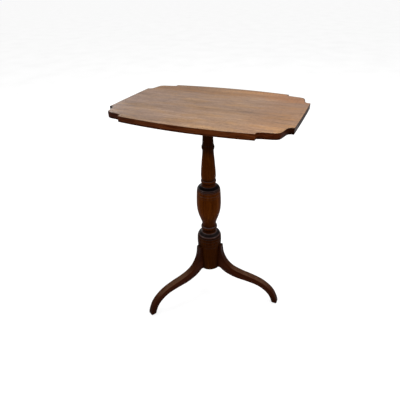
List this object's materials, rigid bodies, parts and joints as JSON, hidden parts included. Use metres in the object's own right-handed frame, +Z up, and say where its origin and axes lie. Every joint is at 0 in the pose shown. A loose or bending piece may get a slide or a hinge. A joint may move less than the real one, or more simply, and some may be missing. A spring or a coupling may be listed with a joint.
{
  "type": "tilt top table",
  "caption": "Small pedestal table: shaped wooden top hinged to a block with a spring catch, on a turned column with curved dovetailed legs.",
  "frame": {"origin": "on the floor, on the axis of the turned column", "axes": "+Z up, +X along the top's long sides towards the catch and the single leg, +Y across the top; the hinge is on the -X side"},
  "size_m": [0.542, 0.4694, 0.701],
  "materials": {
    "top_wood": "worn satin polish, honey brown with a grey sheen",
    "turned_wood": "dark satin polish, near black in the turnings",
    "leg_wood": "dark red-brown satin polish",
    "plain_wood": "unpolished, darkened with age",
    "brass": "dull, tarnished",
    "iron": "dark oxide"
  },
  "bodies": {
    "base": {"column": "turned_wood", "leg_right": "leg_wood", "leg_back_left": "leg_wood", "leg_front_left": "leg_wood", "leg_brace": "iron", "brace_nail_inner_right": "iron", "brace_nail_outer_right": "iron", "brace_nail_inner_back_left": "iron", "brace_nail_outer_back_left": "iron", "brace_nail_inner_front_left": "iron", "brace_nail_outer_front_left": "iron", "top_block": "plain_wood", "tenon_wedge": "plain_wood", "hinge_pin_front": "iron", "hinge_pin_back": "iron", "catch_keeper": "brass", "keeper_screw_1": "brass", "keeper_screw_2": "brass"},
    "top": {"table_top": "top_wood", "cleat_front": "plain_wood", "cleat_back": "plain_wood", "cleat_front_screw_1": "iron", "cleat_front_screw_2": "iron", "cleat_front_screw_3": "iron", "cleat_front_screw_4": "iron", "cleat_back_screw_1": "iron", "cleat_back_screw_2": "iron", "cleat_back_screw_3": "iron", "cleat_back_screw_4": "iron", "catch_case": "brass", "catch_screw_1": "brass", "catch_screw_2": "brass", "catch_screw_3": "brass", "catch_screw_4": "brass", "catch_spring": "iron"},
    "catch": {"catch_bolt": "brass", "catch_knob": "brass"}
  },
  "joints": [
    {"name": "top_tilt", "type": "hinge", "parent": "base", "child": "top", "pos_m": [-0.061, 0, 0.6695], "axis": [0, -1, 0], "range_deg": [0, 90]},
    {"name": "catch_slide", "type": "slide", "parent": "top", "child": "catch", "axis": [1, 0, 0], "range_m": [0, 0.01], "stiffness_N_per_m": 400, "springref_m": -0.006, "deforming": ["catch_spring"]}
  ]
}
